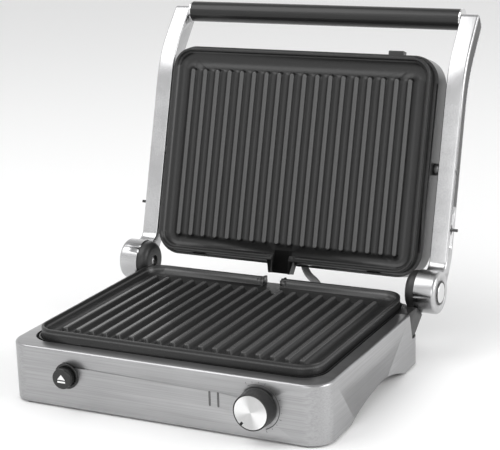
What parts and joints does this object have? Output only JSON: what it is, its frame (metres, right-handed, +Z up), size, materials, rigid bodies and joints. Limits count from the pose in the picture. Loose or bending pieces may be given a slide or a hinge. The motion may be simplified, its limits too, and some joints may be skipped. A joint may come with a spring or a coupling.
{
  "type": "contact grill",
  "caption": "Contact grill with ribbed non-stick plates, a steel base with dial and release button, and a floating lid between two cast arms with a bar handle.",
  "frame": {"origin": "middle of the open grill's footprint, on the surface it stands on", "axes": "+Z up, +X to the user's right, +Y to the rear; the control front faces -Y"},
  "size_m": [0.362, 0.412, 0.3302],
  "materials": {
    "brushed_steel": "satin brushed",
    "cast_silver": "satin",
    "black_plastic": "satin moulded",
    "bottom_plastic": "matt moulded",
    "non_stick": "speckled non-stick coating",
    "plated_steel": "plated",
    "reflector_sheet": "bright sheet",
    "heater_sheath": "dark sheath",
    "bright_trim": "spun",
    "bush_bronze": "sintered",
    "foot_rubber": "matt",
    "lead_sleeve": "matt",
    "lamp_lens": "frosted"
  },
  "bodies": {
    "base": {"base_housing": "brushed_steel", "bottom_cover": "bottom_plastic", "feet": "foot_rubber", "deck_posts": "black_plastic", "base_screws": "plated_steel", "rear_cover": "black_plastic", "cable_outlet": "black_plastic", "mains_gland": "black_plastic", "terminal_block": "black_plastic", "hinge_bracket_left": "black_plastic", "hinge_bracket_right": "black_plastic", "hinge_pins": "plated_steel", "button_bezel": "black_plastic", "thermostat": "black_plastic", "indicator_lenses": "lamp_lens", "indicator_lamps": "lamp_lens", "indicator_board": "black_plastic", "lower_tray": "plated_steel", "lower_reflector": "reflector_sheet", "lower_heating_element": "heater_sheath", "lower_element_clips": "plated_steel", "lower_temperature_sensor": "plated_steel", "lid_cable": "lead_sleeve"},
    "arms": {"arm_left": "cast_silver", "arm_right": "cast_silver", "arm_inlay_left": "black_plastic", "arm_inlay_right": "black_plastic", "hinge_bushes": "bush_bronze", "hinge_ring": "black_plastic", "hinge_cap": "cast_silver", "pivot_pins": "plated_steel", "handle_grip": "black_plastic", "handle_rod": "plated_steel", "handle_collars": "bright_trim", "handle_screws": "plated_steel"},
    "lid": {"upper_housing": "black_plastic", "lid_panel": "brushed_steel", "upper_tray": "plated_steel", "upper_reflector": "reflector_sheet", "upper_heating_element": "heater_sheath", "upper_element_clips": "plated_steel", "upper_temperature_sensor": "plated_steel"},
    "lower_plate": {"lower_grill_plate": "non_stick"},
    "upper_plate": {"upper_grill_plate": "non_stick"},
    "lower_release": {"release_button": "black_plastic", "release_latch": "black_plastic"},
    "upper_release": {"upper_release": "black_plastic"},
    "dial": {"dial_body": "black_plastic", "dial_cap": "bright_trim", "thermostat_shaft": "plated_steel"},
    "drip_tray": {"drip_tray": "black_plastic"},
    "hinge_button": {"hinge_button": "bright_trim"},
    "height_lock_left": {"height_lock_left": "black_plastic"},
    "height_lock_right": {"height_lock_right": "black_plastic"}
  },
  "joints": [
    {"name": "arm_hinge", "type": "hinge", "parent": "base", "child": "arms", "pos_m": [0, 0.064, 0.0674], "axis": [1, 0, 0], "range_deg": [-73.7, 106.3], "deforming": ["lid_cable"]},
    {"name": "lid_float", "type": "hinge", "parent": "arms", "child": "lid", "pos_m": [0, 0.12254, 0.17742], "axis": [-1, 0, 0], "range_deg": [-6, 0]},
    {"name": "lower_plate_lift", "type": "slide", "parent": "base", "child": "lower_plate", "axis": [0, 0, -1], "range_m": [-0.03, 0]},
    {"name": "upper_plate_lift", "type": "slide", "parent": "lid", "child": "upper_plate", "axis": [0, 0.9597, -0.281], "range_m": [-0.03, 0]},
    {"name": "lower_release_push", "type": "slide", "parent": "base", "child": "lower_release", "axis": [0, 1, 0], "range_m": [0, 0.003], "stiffness_N_per_m": 500, "springref_m": -0.001},
    {"name": "upper_release_push", "type": "slide", "parent": "lid", "child": "upper_release", "axis": [0, -0.281, -0.9597], "range_m": [0, 0.0025], "stiffness_N_per_m": 500, "springref_m": -0.001},
    {"name": "dial_turn", "type": "hinge", "parent": "base", "child": "dial", "pos_m": [0.0987, -0.1909, 0.0315], "axis": [0, 1, 0], "range_deg": [0, 270]},
    {"name": "drip_tray_slide", "type": "slide", "parent": "base", "child": "drip_tray", "axis": [0, 1, 0], "range_m": [0, 0.06]},
    {"name": "hinge_button_push", "type": "slide", "parent": "arms", "child": "hinge_button", "axis": [-1, 0, 0], "range_m": [0, 0.002], "stiffness_N_per_m": 500, "springref_m": -0.001},
    {"name": "height_lock_left_slide", "type": "slide", "parent": "arms", "child": "height_lock_left", "axis": [0, 0.281, 0.9597], "range_m": [-0.012, 0.012]},
    {"name": "height_lock_right_slide", "type": "slide", "parent": "arms", "child": "height_lock_right", "axis": [0, 0.281, 0.9597], "range_m": [-0.012, 0.012]}
  ]
}
